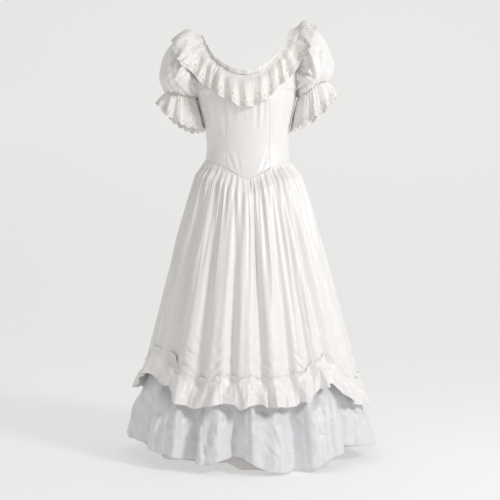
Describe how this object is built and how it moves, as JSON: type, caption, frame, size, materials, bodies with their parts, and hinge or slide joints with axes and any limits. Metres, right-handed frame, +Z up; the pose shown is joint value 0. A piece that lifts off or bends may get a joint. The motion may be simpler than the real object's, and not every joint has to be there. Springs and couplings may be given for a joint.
{
  "type": "wedding dress",
  "caption": "Full-length gown on no wearer: fitted pointed bodice, scooped neck with lace ruffle, puff sleeves with lace cuffs, swagged overskirt over a flounce.",
  "frame": {"origin": "middle of the neck at the height of the shoulders, where the wearer holds the dress up", "axes": "+Z up, the dress's front faces -Y, the wearer's left is at +X"},
  "size_m": [0.7708, 0.6494, 1.3631],
  "materials": {
    "satin": "slubbed ivory satin",
    "taffeta": "crisp cool white taffeta",
    "lace": "cream cotton lace",
    "undercloth": "plain matte lining"
  },
  "bodies": {
    "root": {"bodice_centre_front": "satin", "bodice_side_front_left": "satin", "bodice_side_front_right": "satin", "bodice_side_back_left": "satin", "bodice_side_back_right": "satin", "bodice_back_left": "satin", "bodice_back_right": "satin", "back_placket": "satin", "puff_sleeve_left": "satin", "puff_sleeve_right": "satin", "cuff_ruffle_left": "lace", "cuff_ruffle_right": "lace", "neck_ruffle_front": "lace", "neck_ruffle_back": "lace", "overskirt_front": "satin", "overskirt_back_left": "satin", "overskirt_back_right": "satin", "hem_ruffle_front": "satin", "hem_ruffle_back": "satin", "flounce_front": "taffeta", "flounce_back": "taffeta", "underskirt_front": "undercloth", "underskirt_back": "undercloth"}
  },
  "joints": []
}
